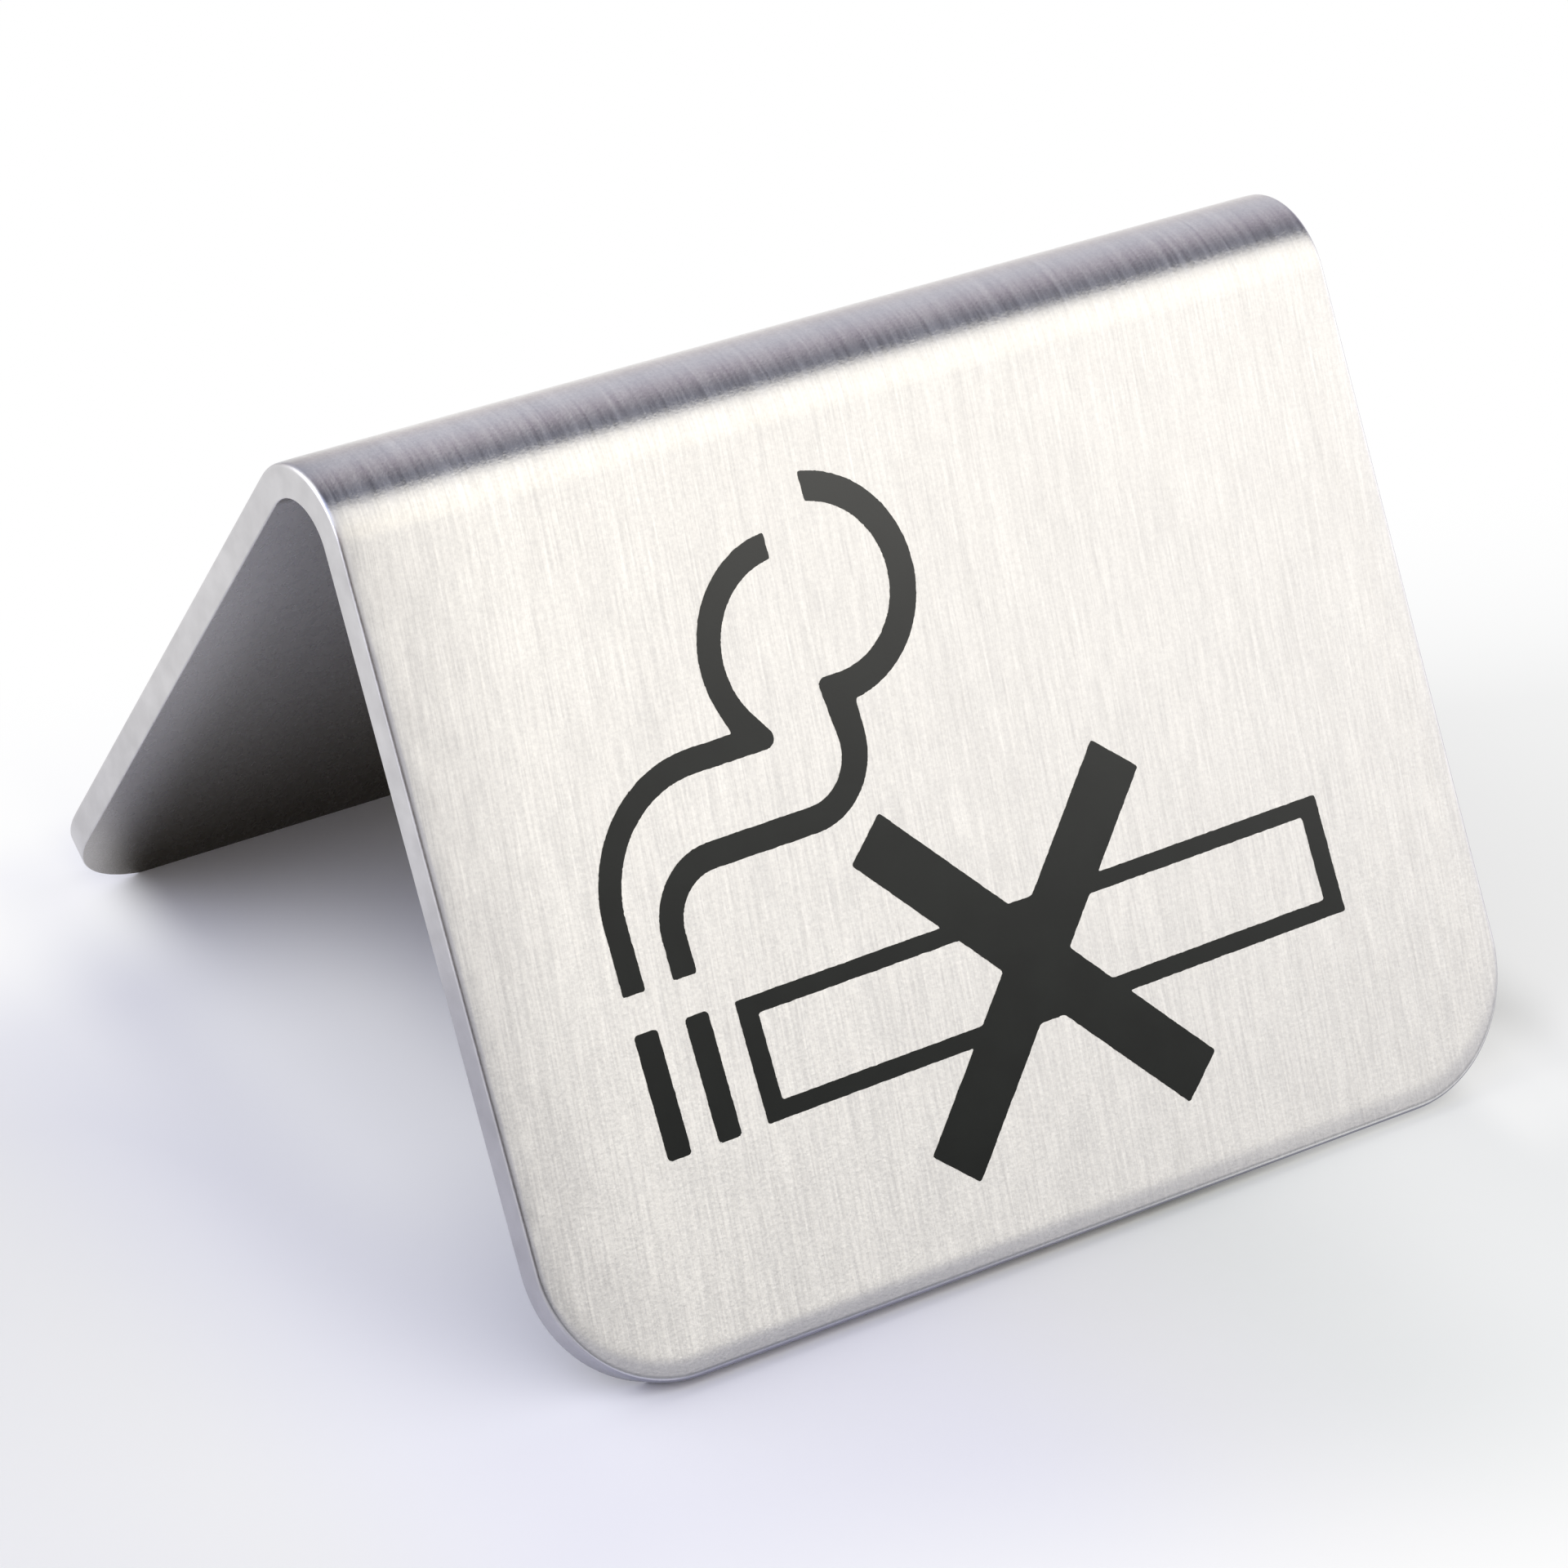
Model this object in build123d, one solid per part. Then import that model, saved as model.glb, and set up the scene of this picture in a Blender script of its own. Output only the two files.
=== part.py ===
from build123d import *
import math
import os

# A small no smoking sign for a table: one steel sheet folded into a tent.
# The fold runs along X at the top, the printed leg faces -Y, and Z = 0 is the table.

# Steel sheet
width = 50.0                 # length of the fold
thickness = 1.5
leg_length = 36.7            # flat part of a leg, from the bend to its lower edge
lean = 32.5                  # degrees of each leg from upright
bend_radius = 2.4            # inside the fold
corner_radius = 6.2          # lower corners of both legs
outer_edge_round = 0.3
inner_edge_round = 0.15
foot_land = 0.6              # width of the level strip under each lower edge

# Print: enamel laid flush in a shallow etched bed on the front leg
print_depth = 0.15
print_shift = 2.3            # middle of the cigarette to the right of the leg's middle
print_rise = 11.85           # middle of the cigarette above the leg's lower edge
print_tilt = 0.9             # degrees, left end down

# Cigarette outline
cigarette_length = 30.5
cigarette_height = 5.3
cigarette_side_line = 0.77   # along its long sides
cigarette_end_line = 0.94

# Two crossing bars
cross_shift = 0.65           # middle of the cross to the left of the cigarette's middle
cross_length = 19.5
cross_band = 2.6
cross_angle = 48.1           # degrees of each bar from the cigarette's length

# Two short bars at the burning end
ember_width = 1.14
ember_height = 5.4
ember_pitch = 2.49
ember_gap = 1.32             # from the cigarette outline to the nearer bar
ember_corner = 0.2

# Smoke: each wisp rises from its bar, turns right and ends in a round hook
smoke_gap = 1.62             # above the short bars
inner_run_rise = 0.6         # middle of the inner wisp's level run above the top of the cross
run_pitch = 3.97             # middle of the outer wisp's level run above that one

outer_band = 1.07
outer_turn_radius = 5.5      # middle of the first turn
outer_hook_distance = 11.96  # centre of the hook to the right of the stem
outer_hook_rise = 3.22       # centre of the hook above the middle of the level run
outer_hook_radius = 4.35
outer_hook_band = 1.14
outer_hook_cut = 0.3         # end of the hook short of its centre
outer_neck_out = 19.0        # degrees below level where each edge leaves the hook
outer_neck_in = 35.0
outer_tip_round = 0.45

inner_band = 1.14
inner_turn_radius = 2.71
inner_run_length = 5.13      # level run between the two turns
inner_rise_radius = 2.87     # middle of the turn that goes up again
inner_rise_band = 1.3
inner_hook_distance = 3.04   # centre of the hook to the right of the second turn's centre
inner_hook_rise = 6.34       # and above it
inner_hook_radius = 4.295
inner_hook_band = 1.29
inner_hook_cut = 0.66        # end of the hook past its centre
inner_tip_across = 1.1       # tip to the left of the hook's centre
inner_tip_round = 0.35

# Heights and directions that follow from the sizes above
lean_sin = math.sin(math.radians(lean))
lean_cos = math.cos(math.radians(lean))
foot_cut = foot_land / (lean_cos / lean_sin + lean_sin / lean_cos)
bend_z = leg_length * lean_cos - bend_radius * lean_sin - foot_cut
outer_radius = bend_radius + thickness
bend_centre = Vector(0, 0, bend_z)
front_normal = Vector(0, -lean_cos, lean_sin)
cross_top = (
    cross_length / 2 * math.sin(math.radians(cross_angle))
    + cross_band / 2 * math.cos(math.radians(cross_angle))
)
inner_run_up = cross_top + inner_run_rise
outer_run_up = inner_run_up + run_pitch


def on_circle(centre, radius, degrees):
    """Point of a circle at an angle from +X."""
    turn = math.radians(degrees)
    return (centre[0] + radius * math.cos(turn), centre[1] + radius * math.sin(turn))


def leg_face(radius):
    """Plane of the front leg at a distance from the bend's centre: X along the fold, Y up the leg."""
    return Plane(origin=bend_centre + front_normal * radius, x_dir=(1, 0, 0), z_dir=front_normal)


def leg_plate():
    """Flat front leg with its two lower corners rounded."""
    with BuildSketch() as outline:
        with Locations((0, -leg_length / 2)):
            Rectangle(width, leg_length)
        fillet(outline.vertices().group_by(Axis.Y)[0], corner_radius)
    return extrude(leg_face(bend_radius) * outline.sketch, amount=thickness)


def bend_sector():
    """Round top of the fold between the two legs."""
    centre = (0, bend_z)
    sweep = 180 - 2 * lean
    with BuildSketch(Plane.YZ) as ring:
        with BuildLine():
            outside = CenterArc(centre, outer_radius, lean, sweep)
            inside = CenterArc(centre, bend_radius, lean, sweep)
            Line(outside @ 0, inside @ 0)
            Line(outside @ 1, inside @ 1)
        make_face()
    return extrude(ring.sketch, amount=width / 2, both=True)


def sheet_depth(point):
    """Distance of a point from the inner face of the sheet, and how far down a leg it lies."""
    across = abs(point.Y)
    up = point.Z - bend_z
    along_normal = across * lean_cos + up * lean_sin
    down_leg = across * lean_sin - up * lean_cos
    if down_leg > 0:
        return along_normal - bend_radius, down_leg
    return math.hypot(across, up) - bend_radius, down_leg


def rim_edges(solid, depth):
    """Edges round the rim of one face of the sheet, without the seams beside the bend."""
    near = 0.01
    rim = []
    for edge in solid.edges():
        edge_depth, down_leg = sheet_depth(edge @ 0.5)
        if abs(edge_depth - depth) < near and abs(down_leg) > near:
            rim.append(edge)
    return rim


def blank_sheet():
    """Folded sheet with its rims rounded and a level strip under each leg."""
    front = leg_plate()
    sheet = front + bend_sector() + mirror(front, about=Plane.XZ)
    sheet = fillet(rim_edges(sheet, thickness), outer_edge_round)
    sheet = fillet(rim_edges(sheet, 0), inner_edge_round)
    below = Box(2 * width, 4 * leg_length, leg_length, align=(Align.CENTER, Align.CENTER, Align.MAX))
    return sheet - below


def ember_place(count):
    """Middle of a short bar, counted outwards from the cigarette."""
    first = -cigarette_length / 2 - ember_gap - ember_width / 2
    return first - count * ember_pitch


def ember_bar(count):
    with BuildSketch() as bar:
        with Locations((ember_place(count), 0)):
            RectangleRounded(ember_width, ember_height, ember_corner)
    return bar.sketch


def crossed_cigarette():
    with BuildSketch() as mark:
        Rectangle(cigarette_length, cigarette_height)
        Rectangle(
            cigarette_length - 2 * cigarette_end_line,
            cigarette_height - 2 * cigarette_side_line,
            mode=Mode.SUBTRACT,
        )
        with Locations((-cross_shift, 0)):
            Rectangle(cross_length, cross_band, rotation=cross_angle)
            Rectangle(cross_length, cross_band, rotation=-cross_angle)
    return mark.sketch


def outer_wisp():
    """Left smoke line: stem, wide turn, level run to a pointed tip, hook opening to the right."""
    start = ember_height / 2 + smoke_gap
    turn = (ember_place(1) + outer_turn_radius, outer_run_up - outer_turn_radius)
    wide = outer_turn_radius + outer_band / 2
    tight = outer_turn_radius - outer_band / 2
    hook = (ember_place(1) + outer_hook_distance, outer_run_up + outer_hook_rise)
    hook_wide = outer_hook_radius + outer_hook_band / 2
    hook_tight = outer_hook_radius - outer_hook_band / 2
    neck_out = on_circle(hook, hook_wide, 180 + outer_neck_out)
    neck_in = on_circle(hook, hook_tight, 180 + outer_neck_in)
    run_top = turn[1] + wide
    run_low = turn[1] + tight
    notch = (neck_out[0] + (neck_out[1] - run_top) * math.tan(math.radians(outer_neck_out)), run_top)
    tip = (neck_in[0] + (neck_in[1] - run_low) * math.tan(math.radians(outer_neck_in)), run_low)
    cap_wide = 180 - math.degrees(math.acos(outer_hook_cut / hook_wide))
    cap_tight = 180 - math.degrees(math.acos(outer_hook_cut / hook_tight))
    with BuildSketch() as wisp:
        with BuildLine():
            Line((turn[0] - wide, start), (turn[0] - wide, turn[1]))
            CenterArc(turn, wide, 180, -90)
            Line((turn[0], run_top), notch)
            Line(notch, neck_out)
            CenterArc(hook, hook_wide, 180 + outer_neck_out, cap_wide - 180 - outer_neck_out)
            Line(on_circle(hook, hook_wide, cap_wide), on_circle(hook, hook_tight, cap_tight))
            CenterArc(hook, hook_tight, cap_tight, 180 + outer_neck_in - cap_tight)
            Line(neck_in, tip)
            Line(tip, (turn[0], run_low))
            CenterArc(turn, tight, 90, 90)
            Line((turn[0] - tight, turn[1]), (turn[0] - tight, start))
            Line((turn[0] - tight, start), (turn[0] - wide, start))
        make_face()
        fillet(wisp.vertices().sort_by_distance(tip)[0], outer_tip_round)
    return wisp.sketch


def inner_wisp():
    """Right smoke line: stem, turn, level run, second turn upwards, tip, and a round hook above it."""
    start = ember_height / 2 + smoke_gap
    turn = (ember_place(0) + inner_turn_radius, inner_run_up - inner_turn_radius)
    wide = inner_turn_radius + inner_band / 2
    tight = inner_turn_radius - inner_band / 2
    run_top = turn[1] + wide
    run_low = turn[1] + tight
    rise_wide = inner_rise_radius + inner_rise_band / 2
    rise_tight = inner_rise_radius - inner_rise_band / 2
    rise = turn[0] + inner_run_length
    wide_centre = (rise, run_low + rise_wide)
    tight_centre = (rise, run_top + rise_tight)
    hook = (rise + inner_hook_distance, inner_run_up + inner_rise_radius + inner_hook_rise)
    hook_wide = inner_hook_radius + inner_hook_band / 2
    hook_tight = inner_hook_radius - inner_hook_band / 2
    tip = (hook[0] - inner_tip_across, hook[1] - hook_tight)
    notch_turn = -math.degrees(math.acos((rise + rise_wide - hook[0]) / hook_wide))
    cap_wide = math.degrees(math.acos(inner_hook_cut / hook_wide))
    cap_tight = math.degrees(math.acos(inner_hook_cut / hook_tight))
    with BuildSketch() as wisp:
        with BuildLine():
            Line((turn[0] - wide, start), (turn[0] - wide, turn[1]))
            CenterArc(turn, wide, 180, -90)
            Line((turn[0], run_top), (rise, run_top))
            CenterArc(tight_centre, rise_tight, -90, 90)
            Line((rise + rise_tight, tight_centre[1]), tip)
            Line(tip, (hook[0], tip[1]))
            CenterArc(hook, hook_tight, -90, 90 + cap_tight)
            Line(on_circle(hook, hook_tight, cap_tight), on_circle(hook, hook_wide, cap_wide))
            CenterArc(hook, hook_wide, cap_wide, notch_turn - cap_wide)
            Line(on_circle(hook, hook_wide, notch_turn), (rise + rise_wide, wide_centre[1]))
            CenterArc(wide_centre, rise_wide, 0, -90)
            Line((rise, run_low), (turn[0], run_low))
            CenterArc(turn, tight, 90, 90)
            Line((turn[0] - tight, turn[1]), (turn[0] - tight, start))
            Line((turn[0] - tight, start), (turn[0] - wide, start))
        make_face()
        fillet(wisp.vertices().sort_by_distance(tip)[0], inner_tip_round)
    return wisp.sketch


def enamel(shape):
    """A printed shape on the front leg, sunk to the depth of its bed."""
    place = Location((print_shift, print_rise - leg_length, 0), (0, 0, print_tilt))
    return extrude(leg_face(outer_radius) * (place * shape), amount=-print_depth)


prints = {
    "crossed_cigarette": enamel(crossed_cigarette()),
    "ember_bar_inner": enamel(ember_bar(0)),
    "ember_bar_outer": enamel(ember_bar(1)),
    "smoke_wisp_inner": enamel(inner_wisp()),
    "smoke_wisp_outer": enamel(outer_wisp()),
}

folded_sheet = blank_sheet()
for shape in prints.values():
    folded_sheet = folded_sheet - shape

os.makedirs("parts", exist_ok=True)
export_step(folded_sheet, "parts/folded_sheet.step")
for name, shape in prints.items():
    export_step(shape, f"parts/{name}.step")
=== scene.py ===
import math

import bmesh
import bpy
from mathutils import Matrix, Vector, noise


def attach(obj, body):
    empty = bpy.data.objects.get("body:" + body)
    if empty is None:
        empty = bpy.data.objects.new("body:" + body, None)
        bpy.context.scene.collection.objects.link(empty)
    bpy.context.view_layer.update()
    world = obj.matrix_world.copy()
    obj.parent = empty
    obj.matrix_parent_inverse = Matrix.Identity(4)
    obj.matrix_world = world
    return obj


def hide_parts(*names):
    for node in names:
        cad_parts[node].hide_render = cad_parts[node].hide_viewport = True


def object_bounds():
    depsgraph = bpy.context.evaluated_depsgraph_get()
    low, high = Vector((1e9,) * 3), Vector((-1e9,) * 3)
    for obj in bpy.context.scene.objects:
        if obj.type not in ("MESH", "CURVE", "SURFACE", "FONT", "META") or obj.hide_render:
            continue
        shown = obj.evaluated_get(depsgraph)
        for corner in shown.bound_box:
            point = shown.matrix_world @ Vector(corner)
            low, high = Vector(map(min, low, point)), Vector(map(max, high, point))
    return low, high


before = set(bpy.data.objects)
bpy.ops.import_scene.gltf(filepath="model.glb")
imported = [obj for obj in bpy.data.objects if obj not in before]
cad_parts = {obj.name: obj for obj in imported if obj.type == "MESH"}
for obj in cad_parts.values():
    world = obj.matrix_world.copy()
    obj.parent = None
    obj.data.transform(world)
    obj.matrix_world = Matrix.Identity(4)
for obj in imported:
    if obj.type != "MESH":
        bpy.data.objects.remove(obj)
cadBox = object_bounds()
scene = bpy.context.scene
mm = 0.001
print("frame loaded")

# View: a long lens from the front left and above
view = {
    "place": (-134.454, -187.098, 158.628),  # mm
    "turn": (57.21279, -2.95904, -33.77113),  # degrees
    "lens": 142.37,
    "sensor": 36.0,
    "clipStart": 0.01,  # metres
}

cameraData = bpy.data.cameras.new("photoView")
cameraData.lens = view["lens"]
cameraData.sensor_width = view["sensor"]
cameraData.clip_start = view["clipStart"]
camera = bpy.data.objects.new("photoView", cameraData)
camera.location = Vector(view["place"]) * mm
camera.rotation_euler = [math.radians(angle) for angle in view["turn"]]
scene.collection.objects.link(camera)
scene.camera = camera
print("camera set")


# Short ways to write the nodes of a material or of the world
def addNode(tree, kind, sockets=None, **settings):
    node = tree.nodes.new(kind)
    for key, value in settings.items():
        setattr(node, key, value)
    for key, value in (sockets or {}).items():
        if isinstance(value, bpy.types.NodeSocket):
            tree.links.new(value, node.inputs[key])
        else:
            node.inputs[key].default_value = value
    return node


def newMaterial(name):
    material = bpy.data.materials.new(name)
    material.use_nodes = True
    material.node_tree.nodes.clear()
    return material, material.node_tree


def finishMaterial(tree, shader):
    addNode(tree, "ShaderNodeOutputMaterial", {"Surface": shader.outputs[0]})


def rangeMap(tree, value, low, high, outLow, outHigh, kind="SMOOTHSTEP"):
    sockets = {"Value": value, "From Min": low, "From Max": high, "To Min": outLow, "To Max": outHigh}
    return addNode(tree, "ShaderNodeMapRange", sockets, interpolation_type=kind).outputs["Result"]


def calculate(tree, operation, first, second=0.0, third=0.0):
    sockets = {0: first, 1: second, 2: third}
    return addNode(tree, "ShaderNodeMath", sockets, operation=operation).outputs[0]


def multiply(tree, first, second):
    return calculate(tree, "MULTIPLY", first, second)


def riseAndFall(tree, value, places, level=1.0):
    # up to the level between the first two places, down again between the last two
    rising = rangeMap(tree, value, *places[:2], 0.0, level)
    return multiply(tree, rising, rangeMap(tree, value, *places[2:], 1.0, 0.0))


def splitAxes(tree, vector):
    return addNode(tree, "ShaderNodeSeparateXYZ", {0: vector}).outputs


def mixColours(tree, share, first, second, kind="MIX"):
    sockets = {0: share, 6: first, 7: second}
    return addNode(tree, "ShaderNodeMix", sockets, data_type="RGBA", blend_type=kind).outputs[2]


def twoTones(tree, value, spread, low, high):
    ramp = addNode(tree, "ShaderNodeValToRGB", {"Fac": value})
    for stop, place, colour in zip(ramp.color_ramp.elements, spread, (low, high)):
        stop.position = place
        stop.color = colour
    return ramp.outputs["Color"]


def noisePattern(tree, place, scale, detail):
    sockets = {"Vector": place, "Scale": scale, "Detail": detail}
    return addNode(tree, "ShaderNodeTexNoise", sockets).outputs["Fac"]


def bumpMap(tree, height, depth):
    sockets = {"Height": height, "Distance": depth * mm, "Strength": 1.0}
    return addNode(tree, "ShaderNodeBump", sockets).outputs[0]


# Brushed steel. The grain runs down the legs and over the fold, so it reads the unfolded
# place of each point: across, down the sheet and through it, in mm.
steelLook = {
    "dull": (0.775, 0.765, 0.757, 1),
    "bright": (1.0, 0.985, 0.96, 1),
    "spread": (0.38, 0.62),      # grain values that give the two colours
    "roughness": (0.32, 0.40),
    "roughSpread": (0.3, 0.7),   # grain values that give the two roughnesses
    "anisotropy": 0.9,
    "slant": 0.075,              # sideways run of the grain for each mm down the sheet
    "grit": (0.14, 0.14),        # width and length of a speck, mm
    "fineGrain": (0.10, 2.4),    # of a scratch
    "midGrain": (0.22, 5.0),
    "longGrain": (0.7, 9.0),
    "cloud": (2.2, 3.0),         # and of a patch
    "weights": (0.26, 0.37, 0.22, 0.07, 0.08),  # from grit to cloud
    "details": (1.0, 1.0, 2.0, 2.0, 2.0),       # and how fine each layer's noise goes
    "waver": 0.06,               # how far a scratch wanders, mm
    "waverSize": (5.0, 3.2),
    "bump": 0.012,               # mm
    "bend": (1.6, 2.6),          # mm from the fold over which the scratches come in
    "bendShare": 0.25,           # their strength over the fold
    "bendGrit": 0.5,             # where the specks stand out instead
    "fadeSide": (-18.0, 12.0),   # from left to right the grain gets weaker
    "sideShare": 0.75,
    "fadeDown": (12.0, 36.0),    # and down the legs stronger
    "footShare": 1.3,
}
innerLook = dict(
    steelLook,
    dull=(0.44, 0.425, 0.415, 1),
    bright=(0.50, 0.485, 0.47, 1),
    roughness=(0.24, 0.32),
    anisotropy=0.0,
    grit=(0.12, 0.12),
    fineGrain=(0.15, 0.25),
    midGrain=(0.5, 0.8),
    longGrain=(1.5, 2.5),
    cloud=(5.0, 7.0),
    bump=0.001,
    bendShare=1.0,
    bendGrit=0.0,
)
innerShade = {
    "down": (12.5, 38.5),        # painted shade: mm from the fold over which the inside gets darker
    "foot": (0.043, 0.034, 0.011, 1),
    "side": (0.2, 5.5),          # painted light: mm from its sides over which it gets lighter
    "sideLightColour": (0.62, 0.60, 0.60, 1),
    "sideShare": 0.72,
    "sidePower": 1.6,
}
rimLook = {
    "band": (0.3, 1.2),          # painted shade: mm in from the rim over which the face gets cooler and darker
    "bandSide": (-15.0, 15.0),   # from the left to the right of the sheet it fades
    "bandShare": (1.0, 0.1),
    "bandShadeTint": (0.87, 0.875, 0.89, 1),
    "line": (0.0, 0.06, 0.17, 0.36),  # painted shade: a soft dark line comes and goes, mm in from the rim
    "lineShadeTint": (0.62, 0.63, 0.70, 1),
    "lineStart": (5.5, 9.0),     # mm from the fold over which it comes in
    "lineEnds": (0.3, 1.0),      # its strength before and after
    "lineSide": (-22.0, -18.5),  # it runs out past the left corner
    "wave": 0.15,                # how far it wanders, mm
    "waveSize": (1.8, 1.8),
    "foot": (35.0, 40.2),        # painted shade: mm from the fold over which the dark band along the lower rim gets wider
    "footReach": (0.05, 0.80),   # how wide it is before and after
    "footSoft": (-0.2, 0.4),     # and how softly it ends
    "footShadeColour": (0.58, 0.58, 0.63, 1),
    "footShare": (0.85, 0.35),   # at the left and at the right
    "contact": (40.3, 40.45),    # painted contact shadow: the last of the lower rim is darker
    "contactShadeTint": (0.42, 0.44, 0.52, 1),
    "contactShadeShare": (0.45, 0.0),
}
leftShadeLook = {                     # painted shade: the left side is greyer and more mottled
    "side": (-25.0, -18.5),
    "tint": (0.80, 0.80, 0.81, 1),
    "patchSize": (1.2, 1.8),
    "patchDetail": 3.0,
    "patch": (0.35, 0.6),        # pattern values that give the least and the most wear
    "patchShare": (0.7, 1.0),
}
grain = {
    "through": 3.0,              # repeats for each mm through the sheet
    "roughness": 0.6,            # of the pattern itself
    "middle": 0.5,               # its mean value
}


def grainPattern(tree, place, size, detail):
    repeats = (1 / size[0], 1 / size[1], grain["through"])
    scaled = addNode(tree, "ShaderNodeVectorMath", {0: place, 1: repeats}, operation="MULTIPLY")
    sockets = {"Vector": scaled.outputs[0], "Scale": 1.0, "Detail": detail, "Roughness": grain["roughness"]}
    return addNode(tree, "ShaderNodeTexNoise", sockets, noise_dimensions="3D").outputs["Fac"]


def offMiddle(tree, pattern):
    return calculate(tree, "SUBTRACT", pattern, grain["middle"])


def rimShade(tree, axes, place, colour):
    reach = addNode(tree, "ShaderNodeAttribute", attribute_name="rimReach").outputs["Fac"]
    down = calculate(tree, "ABSOLUTE", axes["Y"])
    across = axes["X"]

    # painted shade on the left side, in mottled patches
    side = rangeMap(tree, across, *leftShadeLook["side"], 1.0, 0.0)
    patches = grainPattern(tree, place, leftShadeLook["patchSize"], leftShadeLook["patchDetail"])
    patches = rangeMap(tree, patches, *leftShadeLook["patch"], *leftShadeLook["patchShare"])
    leftShaded = mixColours(tree, multiply(tree, side, patches), colour, leftShadeLook["tint"], "MULTIPLY")

    # painted shade along the rim, fading from left to right
    band = rangeMap(tree, reach, *rimLook["band"], 1.0, 0.0)
    band = multiply(tree, band, rangeMap(tree, across, *rimLook["bandSide"], *rimLook["bandShare"]))
    banded = mixColours(tree, band, leftShaded, rimLook["bandShadeTint"], "MULTIPLY")

    # painted shade: a wavering dark line just inside the rim
    wave = offMiddle(tree, grainPattern(tree, place, rimLook["waveSize"], 2.0))
    waved = calculate(tree, "MULTIPLY_ADD", wave, rimLook["wave"], reach)
    line = riseAndFall(tree, waved, rimLook["line"])
    line = multiply(tree, line, rangeMap(tree, down, *rimLook["lineStart"], *rimLook["lineEnds"]))
    line = multiply(tree, line, rangeMap(tree, across, *rimLook["lineSide"], 1.0, 0.0))
    lined = mixColours(tree, line, banded, rimLook["lineShadeTint"], "MULTIPLY")

    # painted shade of the rolled lower rim, wider towards the feet
    width = rangeMap(tree, down, *rimLook["foot"], *rimLook["footReach"])
    foot = rangeMap(tree, calculate(tree, "SUBTRACT", waved, width), *rimLook["footSoft"], 1.0, 0.0)
    foot = multiply(tree, foot, rangeMap(tree, across, *rimLook["bandSide"], *rimLook["footShare"]))
    footed = mixColours(tree, foot, lined, rimLook["footShadeColour"])

    # painted contact shadow at the lower rim
    contact = rangeMap(tree, down, *rimLook["contact"], 0.0, 1.0)
    fade = rangeMap(tree, across, *rimLook["bandSide"], *rimLook["contactShadeShare"])
    return mixColours(tree, multiply(tree, contact, fade), footed, rimLook["contactShadeTint"], "MULTIPLY")


def insideShade(tree, axes, colour):
    down = calculate(tree, "ABSOLUTE", axes["Y"])
    foot = rangeMap(tree, down, *innerShade["down"], 0.0, 1.0, "LINEAR")
    darker = mixColours(tree, foot, colour, innerShade["foot"])
    inwards = calculate(tree, "SUBTRACT", sheet["width"] / 2, calculate(tree, "ABSOLUTE", axes["X"]))
    side = rangeMap(tree, inwards, *innerShade["side"], innerShade["sideShare"], 0.0)
    side = calculate(tree, "POWER", side, innerShade["sidePower"])
    return mixColours(tree, side, darker, innerShade["sideLightColour"])


def brushedSteel(name, look):
    material, tree = newMaterial(name)
    place = addNode(tree, "ShaderNodeAttribute", attribute_name="unfolded").outputs["Vector"]
    axes = splitAxes(tree, place)
    down = calculate(tree, "ABSOLUTE", axes["Y"])

    # the grain leans a little and wanders
    aside = multiply(tree, offMiddle(tree, grainPattern(tree, place, look["waverSize"], 1.0)), look["waver"])
    aside = calculate(tree, "MULTIPLY_ADD", axes["Y"], -look["slant"], aside)
    shift = addNode(tree, "ShaderNodeCombineXYZ", {"X": aside}).outputs[0]
    place = addNode(tree, "ShaderNodeVectorMath", {0: place, 1: shift}, operation="ADD").outputs[0]

    sizes = [look[layer] for layer in ("grit", "fineGrain", "midGrain", "longGrain", "cloud")]
    layers = [grainPattern(tree, place, size, detail) for size, detail in zip(sizes, look["details"])]
    grit, mid = layers[0], layers[2]
    onLegs = rangeMap(tree, down, *look["bend"], look["bendShare"], 1.0)
    tone = 0.0
    for layer, weight in zip(layers, look["weights"]):
        stray = offMiddle(tree, layer)
        if layer is not grit:
            stray = multiply(tree, stray, onLegs)
        tone = calculate(tree, "MULTIPLY_ADD", stray, weight, tone)
    sideStrength = rangeMap(tree, axes["X"], *look["fadeSide"], 1.0, look["sideShare"])
    footStrength = rangeMap(tree, down, *look["fadeDown"], 1.0, look["footShare"])
    strength = multiply(tree, sideStrength, footStrength)
    tone = calculate(tree, "MULTIPLY_ADD", tone, strength, grain["middle"])

    colour = twoTones(tree, tone, look["spread"], look["dull"], look["bright"])
    if look is steelLook:
        colour = rimShade(tree, axes, place, colour)
    else:
        colour = insideShade(tree, axes, colour)
    roughness = rangeMap(tree, mid, *look["roughSpread"], *look["roughness"], "LINEAR")
    specks = rangeMap(tree, down, *look["bend"], look["bendGrit"], 0.0)
    height = calculate(tree, "MULTIPLY_ADD", grit, specks, tone)
    acrossFold = addNode(tree, "ShaderNodeCombineXYZ", {"X": 1.0}).outputs[0]
    shader = addNode(
        tree,
        "ShaderNodeBsdfPrincipled",
        {
            "Base Color": colour,
            "Metallic": 1.0,
            "Roughness": roughness,
            "Anisotropic": look["anisotropy"],
            "Tangent": acrossFold,
            "Normal": bumpMap(tree, height, look["bump"]),
        },
    )
    finishMaterial(tree, shader)
    return material


edgeLook = {
    "dull": (0.56, 0.55, 0.56, 1),
    "bright": (0.65, 0.64, 0.65, 1),
    "spread": (0.3, 0.7),        # pattern values that give both ends, of roughness too
    "roughness": (0.30, 0.38),
    "grit": 9000.0,              # repeats a metre
    "cloud": 700.0,
    "bump": 0.004,               # mm
    "down": (-24.0, -19.0),      # painted shade: mm down the printed leg between which it gets darker
    "rear": (18.0, 32.0),        # and down the plain leg, by less
    "rearShare": 0.5,
    "footShadeTint": (0.80, 0.80, 0.83, 1),
    "contact": (-40.4, -36.5),   # painted contact shadow, darker again where it turns under at the corner
    "contactShadeTint": (0.60, 0.61, 0.68, 1),
}


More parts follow.
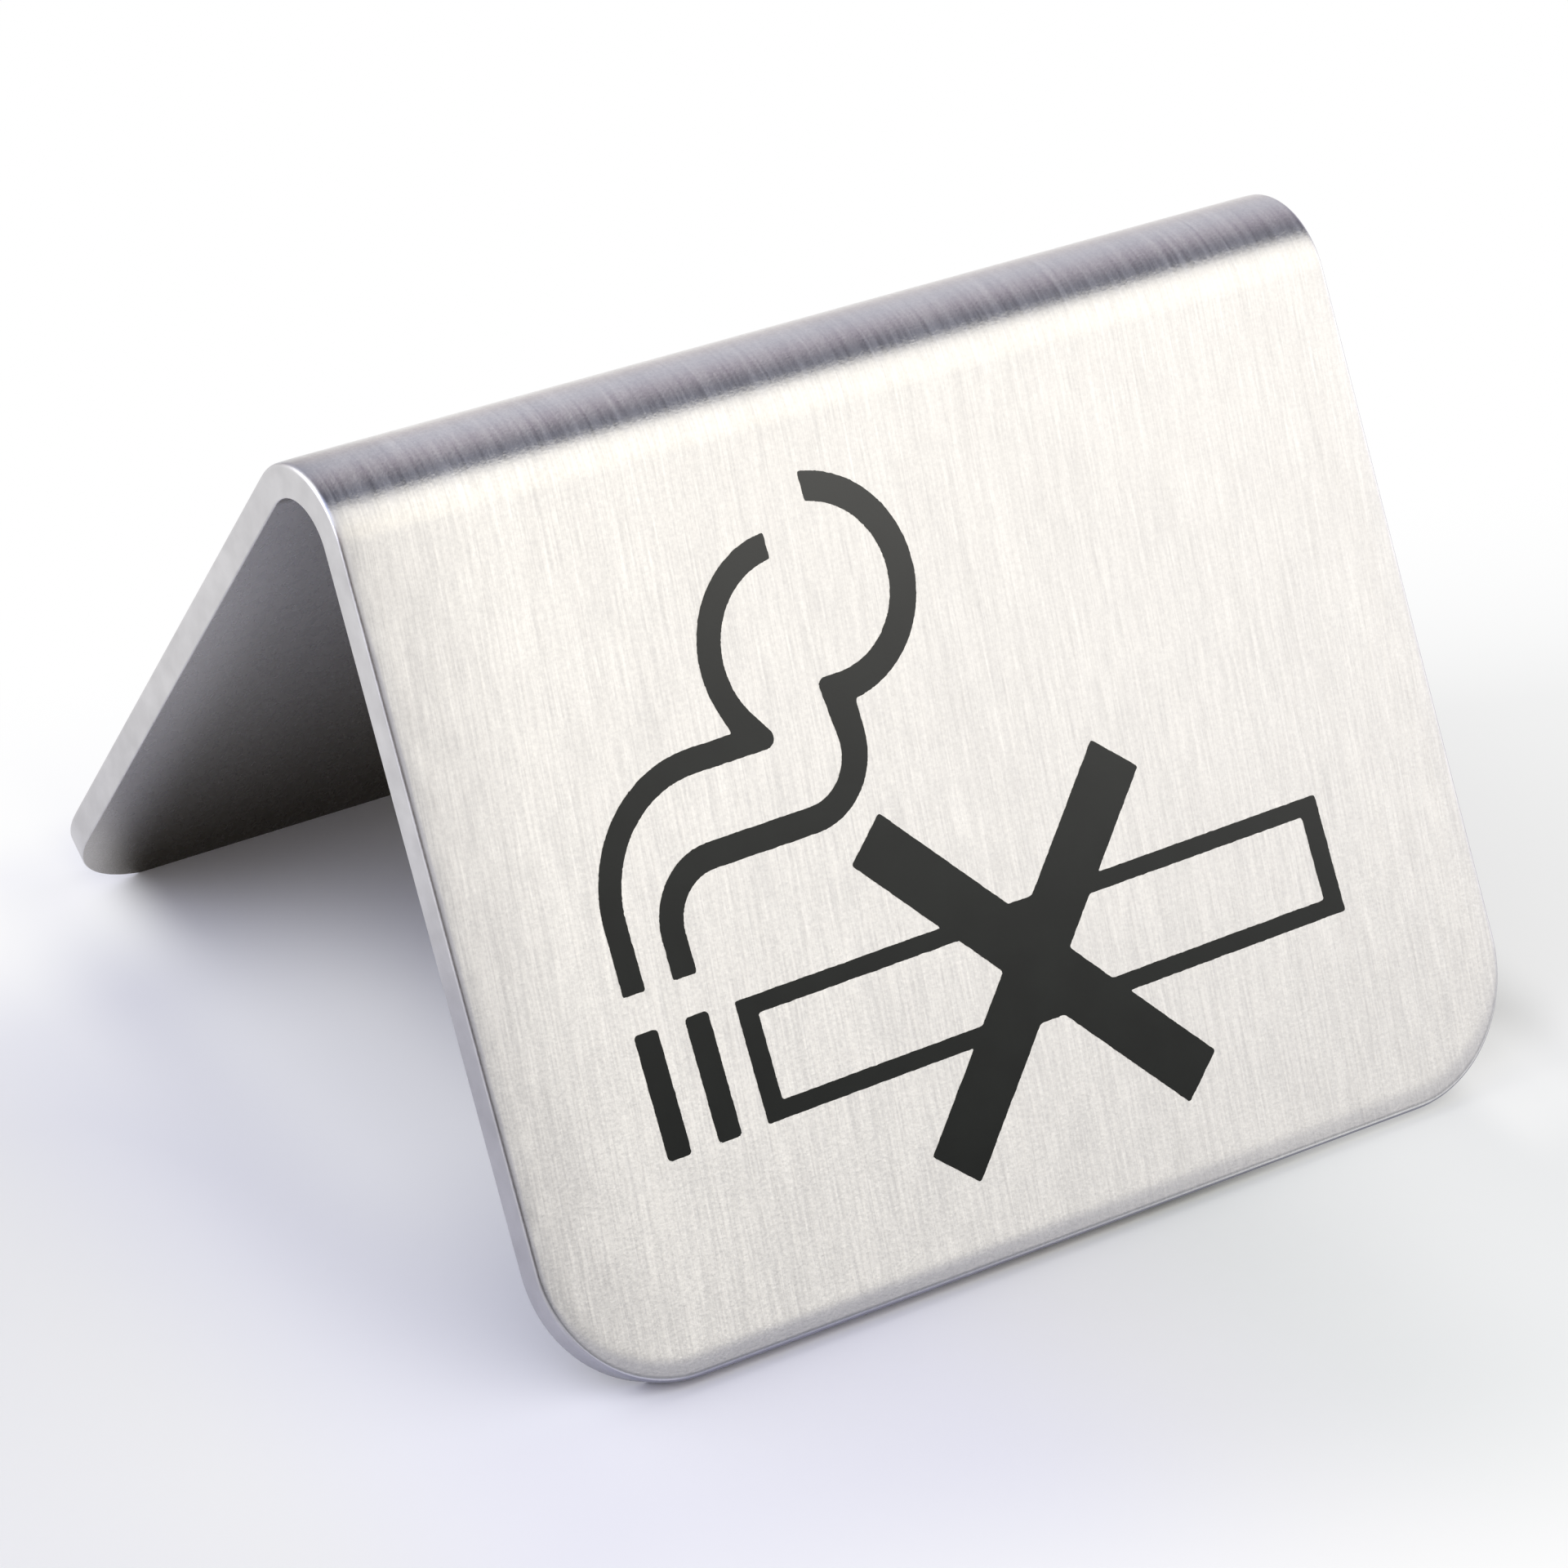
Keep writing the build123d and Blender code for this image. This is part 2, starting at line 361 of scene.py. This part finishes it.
def cutEdge():
    material, tree = newMaterial("tumbledEdge")
    place = addNode(tree, "ShaderNodeTexCoord").outputs["Object"]
    unfolded = addNode(tree, "ShaderNodeAttribute", attribute_name="unfolded").outputs["Vector"]
    down = splitAxes(tree, unfolded)["Y"]
    grit = noisePattern(tree, place, edgeLook["grit"], 3.0)
    cloud = noisePattern(tree, place, edgeLook["cloud"], 2.0)
    steel = twoTones(tree, cloud, edgeLook["spread"], edgeLook["dull"], edgeLook["bright"])
    # painted shade, darker towards the feet
    rear = rangeMap(tree, down, *edgeLook["rear"], 0.0, edgeLook["rearShare"])
    foot = calculate(tree, "ADD", rangeMap(tree, down, *edgeLook["down"], 1.0, 0.0), rear)
    footed = mixColours(tree, foot, steel, edgeLook["footShadeTint"], "MULTIPLY")
    # painted contact shadow where the edge turns under
    contact = rangeMap(tree, down, *edgeLook["contact"], 1.0, 0.0)
    shader = addNode(
        tree,
        "ShaderNodeBsdfPrincipled",
        {
            "Base Color": mixColours(tree, contact, footed, edgeLook["contactShadeTint"], "MULTIPLY"),
            "Metallic": 1.0,
            "Roughness": rangeMap(tree, grit, *edgeLook["spread"], *edgeLook["roughness"], "LINEAR"),
            "Normal": bumpMap(tree, grit, edgeLook["bump"]),
        },
    )
    finishMaterial(tree, shader)
    return material


# Folded sheet: a blank with round corners, its rims rolled over, bent round the fold.
# All lengths in mm, in the same frame as the solid it stands for.
sheet = {
    "width": 50.0,
    "thickness": 1.5,
    "legLength": 36.7,
    "lean": 32.5,          # degrees from upright
    "bendRadius": 2.4,     # inside
    "cornerRadius": 6.2,
    "footLand": 0.6,
    "outerRound": 0.2,
    "innerRound": 0.08,
    "roundSteps": 6,
    "cornerSteps": 28,
    "bendSteps": 40,
    "rollRings": (0.3, 0.45, 0.6, 0.75, 0.9, 1.1, 1.3),  # in from the outer rim
    "rollDepth": 0.028,    # how far the face dips at the rim
    "faceReach": 0.08,     # how near the rim the brushed face comes
    "innerDepth": 0.01,    # and how near the inside the dull finish starts
    "sameHeight": 1e-4,    # points this near a height lie at it
    "faceUp": 0.99,        # the least upward share of a face's normal on the outer face
    "faceArea": 500.0,     # and the least area of its middle, mm2
}
finishes = {"edge": 1, "inside": 2}  # material slots of the sheet, after the face's own 0


def rimDistance(point, halfSize, corner):
    # how far a point of the blank lies in from its outline
    besideX = abs(point.x) - halfSize.x + corner
    besideY = abs(point.y) - halfSize.y + corner
    outside = math.hypot(max(besideX, 0.0), max(besideY, 0.0))
    return corner - outside - min(max(besideX, besideY), 0.0)


def buildSheet():
    lean = math.radians(sheet["lean"])
    halfTurn = math.radians(90) - lean
    halfBend = (sheet["bendRadius"] + sheet["thickness"]) * halfTurn
    flatLength = 2 * (sheet["legLength"] + halfBend)
    footCut = sheet["footLand"] / (1 / math.tan(lean) + math.tan(lean))
    bendZ = sheet["legLength"] * math.cos(lean) - sheet["bendRadius"] * math.sin(lean) - footCut

    bm = bmesh.new()
    bmesh.ops.create_grid(bm, x_segments=1, y_segments=1, size=0.5)
    bmesh.ops.scale(bm, vec=(sheet["width"], flatLength, 1), verts=bm.verts)
    bmesh.ops.bevel(
        bm,
        geom=bm.verts[:],
        affect="VERTICES",
        offset_type="OFFSET",
        offset=sheet["cornerRadius"],
        segments=sheet["cornerSteps"],
        profile=0.5,
        material=-1,
    )
    bmesh.ops.solidify(bm, geom=bm.faces[:], thickness=-sheet["thickness"])
    bmesh.ops.recalc_face_normals(bm, faces=bm.faces[:])

    for height, reach in ((sheet["thickness"], sheet["outerRound"]), (0.0, sheet["innerRound"])):
        rim = [e for e in bm.edges if all(abs(v.co.z - height) < sheet["sameHeight"] for v in e.verts)]
        bmesh.ops.bevel(
            bm,
            geom=rim,
            affect="EDGES",
            offset_type="OFFSET",
            offset=reach,
            segments=sheet["roundSteps"],
            profile=0.5,
            material=-1,
        )

    # rings on the outer face, so that it can dip towards its rim
    done = sheet["outerRound"]
    for ring in sheet["rollRings"]:
        raised = [f for f in bm.faces if f.normal.z > sheet["faceUp"]]
        outer = [f for f in raised if f.calc_area() > sheet["faceArea"]]
        bmesh.ops.inset_region(bm, faces=outer, thickness=ring - done, use_even_offset=True)
        done = ring

    # cuts across it, where it bends
    for step in range(sheet["bendSteps"] + 1):
        down = halfBend * (2 * step / sheet["bendSteps"] - 1)
        bmesh.ops.bisect_plane(
            bm,
            geom=bm.verts[:] + bm.edges[:] + bm.faces[:],
            plane_co=(0, down, 0),
            plane_no=(0, 1, 0),
        )

    # each point keeps its unfolded place for the materials
    unfolded = bm.verts.layers.float_vector.new("unfolded")
    rimReach = bm.verts.layers.float.new("rimReach")
    halfSize = Vector((sheet["width"], flatLength)) / 2
    for vert in bm.verts:
        vert[unfolded] = vert.co
        inwards = rimDistance(vert.co, halfSize, sheet["cornerRadius"])
        vert[rimReach] = inwards
        share = max(0.0, 1 - inwards / sheet["rollRings"][-1])
        vert.co.z -= sheet["rollDepth"] * share ** 2 * vert.co.z / sheet["thickness"]

    for face in bm.faces:
        height = face.calc_center_median().z
        inwards = sum(vert[rimReach] for vert in face.verts) / len(face.verts)
        if height < sheet["innerDepth"]:
            face.material_index = finishes["inside"]
        elif inwards < sheet["faceReach"] or height < sheet["thickness"] / 2:
            face.material_index = finishes["edge"]

    for vert in bm.verts:
        across, down, depth = vert.co
        side = -1 if down < 0 else 1       # the print is on the -Y leg
        down = abs(down)
        radius = sheet["bendRadius"] + depth
        if down < halfBend:
            angle = halfTurn * down / halfBend
            away = radius * math.sin(angle)
            up = radius * math.cos(angle)
        else:
            away = radius * math.cos(lean) + (down - halfBend) * math.sin(lean)
            up = radius * math.sin(lean) - (down - halfBend) * math.cos(lean)
        away = min(away, cadBox[1][1] / mm)   # no further out than the solid's own rim
        vert.co = Vector((across, side * away, bendZ + up))

    # both feet are cut level and closed
    bmesh.ops.bisect_plane(
        bm,
        geom=bm.verts[:] + bm.edges[:] + bm.faces[:],
        plane_co=(0, 0, 0),
        plane_no=(0, 0, 1),
        clear_inner=True,
    )
    openEdges = [e for e in bm.edges if e.is_boundary]
    lands = bmesh.ops.holes_fill(bm, edges=openEdges, sides=0)["faces"]
    for face in lands:
        face.material_index = finishes["edge"]
    bmesh.ops.scale(bm, vec=(mm, mm, mm), verts=bm.verts)
    bmesh.ops.recalc_face_normals(bm, faces=bm.faces[:])
    closed = all(e.is_manifold for e in bm.edges)
    print("sheet: faces", len(bm.faces), "closed", closed, "lands", len(lands))

    mesh = bpy.data.meshes.new("brushedSheet")
    bm.to_mesh(mesh)
    bm.free()
    mesh.materials.append(brushedSteel("brushedSteel", steelLook))
    mesh.materials.append(cutEdge())
    mesh.materials.append(brushedSteel("innerSteel", innerLook))
    for face in mesh.polygons:
        face.use_smooth = True
    piece = bpy.data.objects.new("brushedSheet", mesh)
    scene.collection.objects.link(piece)
    weighted = piece.modifiers.new("evenShading", "WEIGHTED_NORMAL")
    weighted.mode = "FACE_AREA"
    weighted.weight = 100
    weighted.keep_sharp = True
    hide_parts("folded_sheet")
    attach(piece, "root")


buildSheet()
print("sheet built")


# Print: dark ink with slightly ragged edges, a hair proud of the steel
ink = {
    "proud": 0.012,      # mm
    "sunk": 0.03,
    "merge": 0.001,      # points this near each other are one
    "faceOn": 0.99,      # the least outward share of a face's normal on the printed side
    "flat": 0.5,         # degrees of turn under which its faces are joined
    "edgeStep": 0.09,    # spacing of the points along an edge
    "softening": 2,      # passes that round the corners
    "pull": 0.5,         # how far each takes a point to the middle of its neighbours
    "ragged": 0.035,     # how far an edge strays
    "strays": ((3.1, 0.6), (9.0, 0.4)),  # waves for each mm, share
    "tone": (0.004, 0.0055, 0.005, 1),
    "light": (0.007, 0.0092, 0.0082, 1),
    "spread": (0.35, 0.7),  # pattern values that give the two
    "cloud": 450.0,      # repeats a metre
    "grit": 6000.0,
    "bump": 0.003,       # mm
    "roughness": 0.38,
    "density": 1.51,     # refractive index
    "sheen": 0.187,      # painted sheen: specular level at the origin
    "sheenRise": (17.0, 58.0),  # and how fast it grows along X and Z, for each metre
}


def inkMaterial():
    material, tree = newMaterial("printedInk")
    place = addNode(tree, "ShaderNodeTexCoord").outputs["Object"]
    axes = splitAxes(tree, place)
    cloud = noisePattern(tree, place, ink["cloud"], 3.0)
    grit = noisePattern(tree, place, ink["grit"], 2.0)
    # painted sheen: the ink's gloss grows up the sign and to the right
    rise = multiply(tree, axes["X"], ink["sheenRise"][0])
    rise = calculate(tree, "MULTIPLY_ADD", axes["Z"], ink["sheenRise"][1], rise)
    shader = addNode(
        tree,
        "ShaderNodeBsdfPrincipled",
        {
            "Base Color": twoTones(tree, cloud, ink["spread"], ink["tone"], ink["light"]),
            "Roughness": ink["roughness"],
            "IOR": ink["density"],
            "Specular IOR Level": multiply(tree, calculate(tree, "EXPONENT", rise), ink["sheen"]),
            "Normal": bumpMap(tree, grit, ink["bump"]),
        },
    )
    finishMaterial(tree, shader)
    return material


def printedShape(node, name, material):
    lean = math.radians(sheet["lean"])
    facing = Vector((0, -math.cos(lean), math.sin(lean)))
    bm = bmesh.new()
    bm.from_mesh(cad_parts[node].data)
    bmesh.ops.remove_doubles(bm, verts=bm.verts, dist=ink["merge"] * mm)
    hidden = [f for f in bm.faces if f.normal.dot(facing) < ink["faceOn"]]
    bmesh.ops.delete(bm, geom=hidden, context="FACES")
    bmesh.ops.dissolve_limit(
        bm,
        angle_limit=math.radians(ink["flat"]),
        verts=bm.verts[:],
        edges=bm.edges[:],
        use_dissolve_boundaries=False,
    )
    for edge in [e for e in bm.edges if e.is_boundary]:
        cuts = int(edge.calc_length() / (ink["edgeStep"] * mm))
        if cuts > 0:
            bmesh.ops.subdivide_edges(bm, edges=[edge], cuts=cuts)

    # the outline is softened first and then made ragged
    border = [v for v in bm.verts if v.is_boundary]
    for step in range(ink["softening"] + 1):
        moves = []
        for vert in border:
            ends = [e.other_vert(vert) for e in vert.link_edges if e.is_boundary]
            if step < ink["softening"]:
                moves.append(((ends[0].co + ends[1].co) / 2 - vert.co) * ink["pull"])
            else:
                outwards = (ends[0].co - ends[1].co).normalized().cross(facing)
                stray = sum(noise.noise(vert.co / mm * waves) * share for waves, share in ink["strays"])
                moves.append(outwards * stray * ink["ragged"] * mm)
        for vert, move in zip(border, moves):
            vert.co += move
    top = bm.faces[:]
    bmesh.ops.translate(bm, vec=facing * ink["proud"] * mm, verts=bm.verts)
    bmesh.ops.solidify(bm, geom=top, thickness=(ink["proud"] + ink["sunk"]) * mm)
    bmesh.ops.recalc_face_normals(bm, faces=bm.faces[:])
    for face in bm.faces:
        face.smooth = False
    print(name, "faces", len(bm.faces), "closed", all(e.is_manifold for e in bm.edges))

    mesh = bpy.data.meshes.new(name)
    bm.to_mesh(mesh)
    bm.free()
    mesh.materials.append(material)
    piece = bpy.data.objects.new(name, mesh)
    scene.collection.objects.link(piece)
    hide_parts(node)
    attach(piece, "root")


inkBlack = inkMaterial()
printedNames = {
    "crossed_cigarette": "printedCigarette",
    "ember_bar_inner": "printedEmberInner",
    "ember_bar_outer": "printedEmberOuter",
    "smoke_wisp_inner": "printedSmokeInner",
    "smoke_wisp_outer": "printedSmokeOuter",
}
for node, name in printedNames.items():
    printedShape(node, name, inkBlack)
print("print built")


# Table top under the sign. All lengths in metres, apart from the gap under the feet.
table = {
    "size": 3.0,
    "gap": 0.01,               # mm
    "colour": (0.90, 0.905, 0.915, 1),
    "cool": (0.88, 0.885, 0.962, 1),            # in the shadow to the left
    "coolSide": (-0.040, -0.030, -0.012, 0.0),  # X where it comes and goes
    "warm": (0.90, 0.922, 0.900, 1),            # and to the right
    "warmSide": (-0.004, 0.008),
    "behind": (0.25, 0.97),    # direction in which it turns white behind the sign
    "far": (-0.014, 0.034),    # places along it between which it does
    "near": (-0.052, -0.033),  # and in front
    "foot": (0.025, 0.023),    # half the sign's footprint, kept clear of it
    "clear": 0.005,
    "right": (0.0245, 0.031),  # painted light: to the right of the sign it is paler
    "rightShare": 0.6,
    "left": (0.001, 0.008, 0.010, 0.028),  # painted light: lighter beside the shadow, between these distances
    "leftShare": 0.15,
    # softly lit parts: X and Y where each comes and goes, and its share
    "pale": (
        # under the fold
        ((-0.030, -0.022, -0.018, -0.009), (-0.016, -0.002, 0.006, 0.020), 0.28),
        # at the rear left foot
        ((-0.060, -0.050, -0.024, -0.020), (0.012, 0.021, 0.060, 0.070), 0.65),
        # in front, to the right
        ((0.004, 0.018, 0.050, 0.060), (-0.060, -0.050, -0.0225, -0.018), 0.37),
        # at the front right foot
        ((0.0205, 0.023, 0.0255, 0.0285), (-0.030, -0.0245, -0.0195, -0.016), 0.40),
    ),
}


def paleShare(tree, axes):
    # how far each point of the table turns white: the backdrop's fade to white, and painted light that lifts
    # the sign's shadow beside it and in soft patches
    back = multiply(tree, axes["X"], table["behind"][0])
    back = calculate(tree, "MULTIPLY_ADD", axes["Y"], table["behind"][1], back)
    far = rangeMap(tree, back, *table["far"], 0.0, 1.0)
    near = rangeMap(tree, back, *table["near"], 1.0, 0.0)
    awayX = calculate(tree, "SUBTRACT", calculate(tree, "ABSOLUTE", axes["X"]), table["foot"][0])
    awayY = calculate(tree, "SUBTRACT", calculate(tree, "ABSOLUTE", axes["Y"]), table["foot"][1])
    away = calculate(tree, "MAXIMUM", awayX, awayY)
    clear = rangeMap(tree, away, 0.0, table["clear"], 0.0, 1.0)
    share = multiply(tree, calculate(tree, "MAXIMUM", far, near), clear)

    right = rangeMap(tree, axes["X"], *table["right"], 0.0, table["rightShare"])
    share = calculate(tree, "MAXIMUM", share, right)
    beside = calculate(tree, "SUBTRACT", multiply(tree, axes["X"], -1.0), table["foot"][0])
    left = riseAndFall(tree, beside, table["left"], table["leftShare"])
    share = calculate(tree, "MAXIMUM", share, left)

    for alongX, alongY, level in table["pale"]:
        patch = riseAndFall(tree, axes["X"], alongX, level)
        patch = multiply(tree, patch, riseAndFall(tree, axes["Y"], alongY))
        rest = calculate(tree, "SUBTRACT", 1.0, share)
        share = calculate(tree, "MULTIPLY_ADD", rest, patch, share)
    return share


def paleTable():
    material, tree = newMaterial("paleTable")
    axes = splitAxes(tree, addNode(tree, "ShaderNodeTexCoord").outputs["Object"])
    path = addNode(tree, "ShaderNodeLightPath").outputs
    seen = calculate(tree, "MAXIMUM", path["Is Camera Ray"], path["Is Glossy Ray"])
    seen = calculate(tree, "MAXIMUM", seen, path["Is Transmission Ray"])
    # glow seen by the camera and in reflections only: the backdrop's white and painted light
    glow = multiply(tree, paleShare(tree, axes), seen)

    cool = riseAndFall(tree, axes["X"], table["coolSide"])
    warm = rangeMap(tree, axes["X"], *table["warmSide"], 0.0, 1.0)
    colour = mixColours(tree, cool, table["colour"], table["cool"])
    colour = mixColours(tree, warm, colour, table["warm"])
    diffuse = addNode(tree, "ShaderNodeBsdfDiffuse", {"Color": colour})
    white = addNode(tree, "ShaderNodeEmission", {"Color": (1, 1, 1, 1), "Strength": 1.0})
    sockets = {0: glow, 1: diffuse.outputs[0], 2: white.outputs[0]}
    finishMaterial(tree, addNode(tree, "ShaderNodeMixShader", sockets))
    return material


def tableTop():
    bm = bmesh.new()
    bmesh.ops.create_grid(bm, x_segments=1, y_segments=1, size=table["size"] / 2)
    bmesh.ops.translate(bm, vec=(0, 0, -table["gap"] * mm), verts=bm.verts)
    mesh = bpy.data.meshes.new("tableTop")
    bm.to_mesh(mesh)
    bm.free()
    mesh.materials.append(paleTable())
    floor = bpy.data.objects.new("tableTop", mesh)
    scene.collection.objects.link(floor)


tableTop()
print("table built")


# Studio: light from every side as one sky, level and tint by the angle turned from the
# horizon in front, over the top, to the horizon behind
studio = {
    "strength": 3.4,
    "right": (  # angle in degrees, colour as a share of the strength
        (-10, (0.161, 0.166, 0.158)),
        (12, (0.075, 0.075, 0.078)),
        (25, (0.360, 0.352, 0.335)),
        (45, (0.395, 0.382, 0.345)),
        (73, (0.345, 0.335, 0.31)),
        (85, (0.0, 0.0, 0.0)),
        (100, (0.0, 0.0, 0.0)),
        (120, (0.063, 0.049, 0.071)),
        (150, (0.134, 0.139, 0.166)),
        (180, (0.172, 0.152, 0.153)),
    ),
    "left": (
        (-10, (0.155, 0.157, 0.165)),
        (12, (0.0, 0.0, 0.0)),
        (25, (0.0, 0.0, 0.0)),
        (45, (0.044, 0.015, 0.0)),
        (70, (0.546, 0.553, 0.566)),
        (88, (0.168, 0.229, 0.434)),
        (100, (0.351, 0.356, 0.466)),
        (120, (0.937, 0.952, 0.88)),
        (150, (0.778, 0.78, 0.803)),
        (180, (0.309, 0.308, 0.301)),
    ),
    "change": (-0.6, 0.0),      # direction X over which left turns to right
    "ends": (0.7, 0.92),        # both ends of the X axis are brighter
    "backHalf": (-0.15, 0.15),  # direction Y over which front turns to back
    "leftEnd": (0.00, 1.10),    # front and back
    "rightEnd": (0.92, 0.32),
    "endColour": (1.0, 1.0, 1.2, 1),
}


def skyRamp(tree, share, side):
    node = addNode(tree, "ShaderNodeValToRGB", {"Fac": share})
    stops = node.color_ramp.elements
    first, last = side[0][0], side[-1][0]
    while len(stops) < len(side):
        stops.new(1.0)
    for stop, (angle, colour) in zip(stops, side):
        stop.position = (angle - first) / (last - first)
        stop.color = (*colour, 1)
    return node.outputs["Color"]


def studioWorld():
    world = bpy.data.worlds.new("studio")
    scene.world = world
    world.use_nodes = True
    tree = world.node_tree
    tree.nodes.clear()
    axes = splitAxes(tree, addNode(tree, "ShaderNodeTexCoord").outputs["Generated"])
    turn = calculate(tree, "ARCTAN2", axes["Z"], multiply(tree, axes["Y"], -1.0))
    first, last = (math.radians(studio["right"][end][0]) for end in (0, -1))
    share = rangeMap(tree, turn, first, last, 0.0, 1.0, "LINEAR")
    isRight = rangeMap(tree, axes["X"], *studio["change"], 0.0, 1.0, "LINEAR")
    left, right = (skyRamp(tree, share, studio[side]) for side in ("left", "right"))
    sky = mixColours(tree, isRight, left, right)
    light = addNode(tree, "ShaderNodeBackground", {"Color": sky, "Strength": studio["strength"]})

    isBack = rangeMap(tree, axes["Y"], *studio["backHalf"], 0.0, 1.0)
    leftLevel = rangeMap(tree, isBack, 0.0, 1.0, *studio["leftEnd"], "LINEAR")
    rightLevel = rangeMap(tree, isBack, 0.0, 1.0, *studio["rightEnd"], "LINEAR")
    inner, outer = studio["ends"]
    atLeft = rangeMap(tree, axes["X"], -outer, -inner, 1.0, 0.0)
    atRight = rangeMap(tree, axes["X"], inner, outer, 0.0, 1.0)
    ends = calculate(tree, "MULTIPLY_ADD", atRight, rightLevel, multiply(tree, atLeft, leftLevel))
    glow = addNode(tree, "ShaderNodeBackground", {"Color": studio["endColour"], "Strength": ends})
    both = addNode(tree, "ShaderNodeAddShader", {0: light.outputs[0], 1: glow.outputs[0]})
    addNode(tree, "ShaderNodeOutputWorld", {"Surface": both.outputs[0]})


studioWorld()
scene.view_settings.view_transform = "Standard"
print("studio lit")
